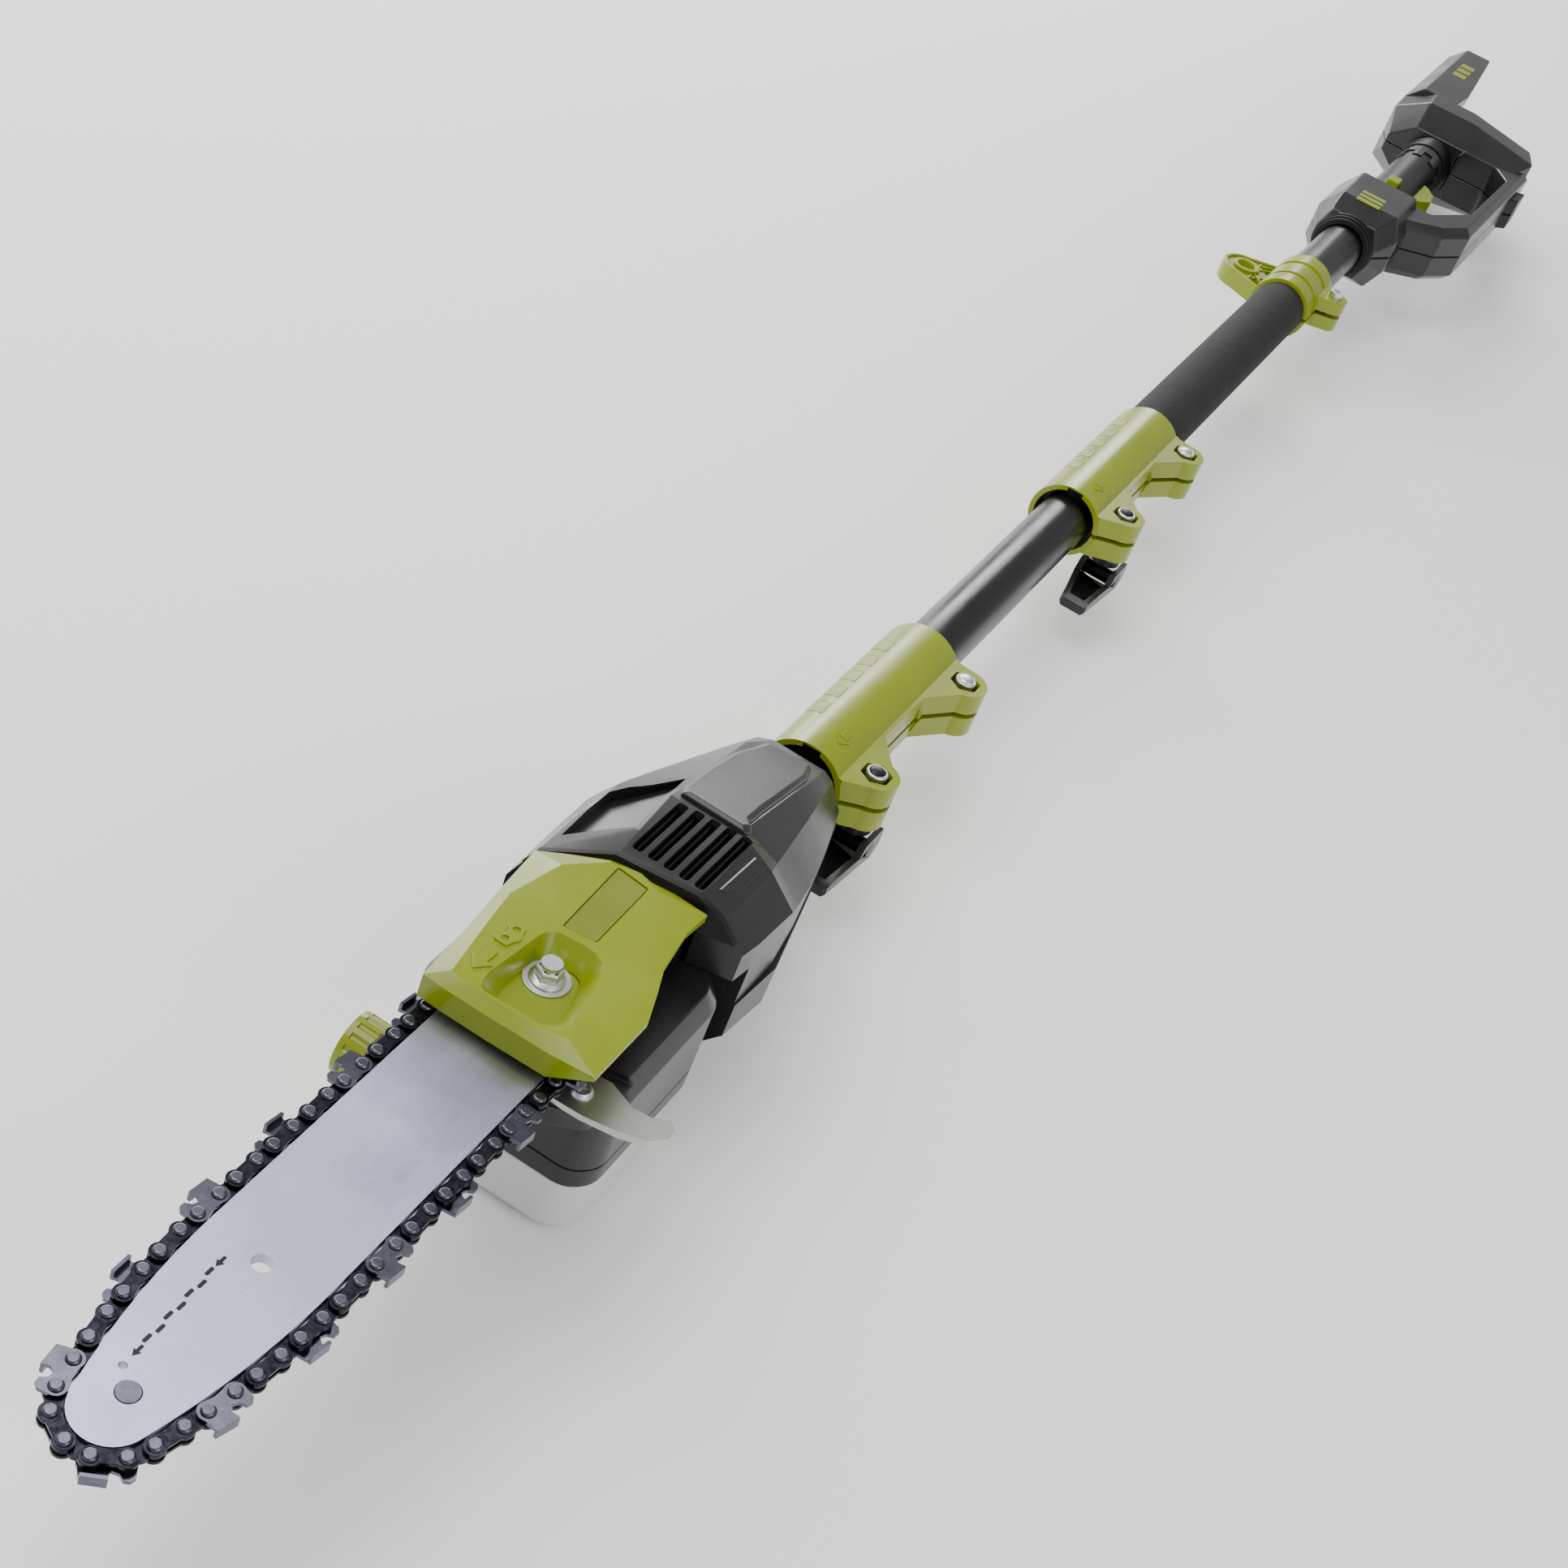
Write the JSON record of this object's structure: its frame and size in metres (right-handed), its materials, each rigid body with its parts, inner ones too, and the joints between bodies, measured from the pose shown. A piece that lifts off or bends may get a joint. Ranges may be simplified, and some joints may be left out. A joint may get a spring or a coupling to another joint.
{
  "type": "telescoping pole saw",
  "caption": "Telescoping pole saw: chain bar head on sliding tubes with lever clamps, strap eye, foam sleeve and a looped rear handle with a battery dock.",
  "frame": {"origin": "centre of the hole in the strap eye", "axes": "+X along the pole towards the battery dock; +Y from the pole axis towards the strap eye, away from the trigger; +Z out of the face with the chain cover"},
  "size_m": [1.7716, 0.1426, 0.109],
  "materials": {
    "bar_steel": "ground steel, satin",
    "dark_steel": "hardened steel",
    "chain_steel": "oiled blued steel",
    "cutter_chrome": "chromed cutting teeth",
    "bright_steel": "zinc plated",
    "black_steel": "black oxide",
    "satin_steel": "satin plated sheet",
    "copper_core": "wound laminated core",
    "green_plastic": "fine textured",
    "green_panel": "fine textured, darker",
    "grey_plastic": "fine textured",
    "black_plastic": "fine textured",
    "clear_plastic": "cloudy, see-through",
    "ivory_plastic": "plain",
    "grey_tube": "powder coated, satin",
    "outer_alloy": "powder coated, satin",
    "foam": "closed-cell foam",
    "soft_rubber": "moulded soft grip"
  },
  "bodies": {
    "handle_section": {"outer_tube": "outer_alloy", "foam_grip": "foam", "rear_clamp": "green_plastic", "rear_clamp_liner": "black_plastic", "rear_clamp_bolts": "bright_steel", "rear_clamp_pad": "black_plastic", "hanger_clamp": "green_plastic", "hanger_bolt": "bright_steel", "handle_left": "grey_plastic", "handle_right": "grey_plastic", "collar_boot": "soft_rubber", "grip_sleeve": "soft_rubber", "trigger_pin": "bright_steel", "trigger_switch": "black_plastic", "battery_terminals": "black_plastic", "handle_screws": "black_steel"},
    "middle_section": {"mid_tube": "grey_tube", "mid_guide_bush": "black_plastic", "front_clamp": "green_plastic", "front_clamp_liner": "black_plastic", "front_clamp_bolts": "bright_steel", "front_clamp_pad": "black_plastic"},
    "rear_lever": {"rear_clamp_lever": "black_plastic"},
    "front_lever": {"front_clamp_lever": "black_plastic"},
    "trigger": {"trigger": "green_plastic"},
    "lock_button": {"lock_button": "green_plastic"},
    "drive_train": {"drive_sprocket": "dark_steel", "sprocket_shaft": "bright_steel", "sprocket_clip": "dark_steel", "crown_gear": "dark_steel"},
    "motor_rotor": {"motor_rotor": "copper_core"},
    "nose_sprocket": {"nose_sprocket": "dark_steel"},
    "bar_nut": {"bar_nut": "bright_steel"},
    "oil_cap": {"oil_cap": "green_plastic"},
    "saw_head": {"guide_bar": "bar_steel", "nose_rivet": "dark_steel", "chain_drive_links": "chain_steel", "chain_tie_straps": "chain_steel", "chain_cutters": "cutter_chrome", "chain_rivets": "chain_steel", "motor_can": "dark_steel", "shaft_bearings": "bright_steel", "bar_stud": "bright_steel", "nut_washer": "bright_steel", "sprocket_cover": "green_plastic", "cover_panel": "green_panel", "gear_housing": "grey_plastic", "housing_base": "grey_plastic", "oil_tank": "clear_plastic", "oil_pump": "ivory_plastic", "motor_housing_left": "grey_plastic", "motor_housing_right": "grey_plastic", "housing_lip": "black_plastic", "housing_screws": "black_steel", "limb_hook": "satin_steel", "hook_screw": "bright_steel", "bar_tensioner": "bright_steel", "front_tube": "grey_tube", "front_guide_bush": "black_plastic"}
  },
  "joints": [
    {"name": "rear_telescope", "type": "slide", "parent": "handle_section", "child": "middle_section", "axis": [-1, 0, 0], "range_m": [0, 0.4]},
    {"name": "front_telescope", "type": "slide", "parent": "middle_section", "child": "saw_head", "axis": [-1, 0, 0], "range_m": [0, 0.4]},
    {"name": "rear_lever_hinge", "type": "hinge", "parent": "handle_section", "child": "rear_lever", "pos_m": [-0.399, -0.062, -0.026], "axis": [0, -1, 0], "range_deg": [0, 100]},
    {"name": "front_lever_hinge", "type": "hinge", "parent": "middle_section", "child": "front_lever", "pos_m": [-0.715, -0.062, -0.026], "axis": [0, -1, 0], "range_deg": [0, 100]},
    {"name": "trigger_squeeze", "type": "hinge", "parent": "handle_section", "child": "trigger", "pos_m": [0.248, -0.045, 0], "axis": [0, 0, 1], "range_deg": [0, 5], "stiffness_Nm_per_rad": 2, "springref_deg": -5.73},
    {"name": "lock_press", "type": "slide", "parent": "handle_section", "child": "lock_button", "axis": [0, 0, -1], "range_m": [0, 0.003], "stiffness_N_per_m": 400, "springref_m": -0.002},
    {"name": "drive_spin", "type": "hinge", "parent": "saw_head", "child": "drive_train", "pos_m": [-0.907, -0.036, 0], "axis": [0, 0, 1], "continuous": true},
    {"name": "motor_spin", "type": "hinge", "parent": "saw_head", "child": "motor_rotor", "pos_m": [-0.869, -0.035, 0], "axis": [1, 0, 0], "continuous": true},
    {"name": "nose_spin", "type": "hinge", "parent": "saw_head", "child": "nose_sprocket", "pos_m": [-1.18589, -0.036, 0.033], "axis": [0, 0, 1], "continuous": true},
    {"name": "bar_nut_turn", "type": "hinge", "parent": "saw_head", "child": "bar_nut", "pos_m": [-0.963, -0.036, 0.045], "axis": [0, 0, 1], "range_deg": [0, 360]},
    {"name": "oil_cap_turn", "type": "hinge", "parent": "saw_head", "child": "oil_cap", "pos_m": [-0.964, 0.015, -0.0385], "axis": [0, 1, 0], "range_deg": [0, 90]}
  ],
  "couplings": [
    {"joint": "motor_spin", "follows": "drive_spin", "ratio": -3.5},
    {"joint": "nose_spin", "follows": "drive_spin", "ratio": 1.08}
  ]
}
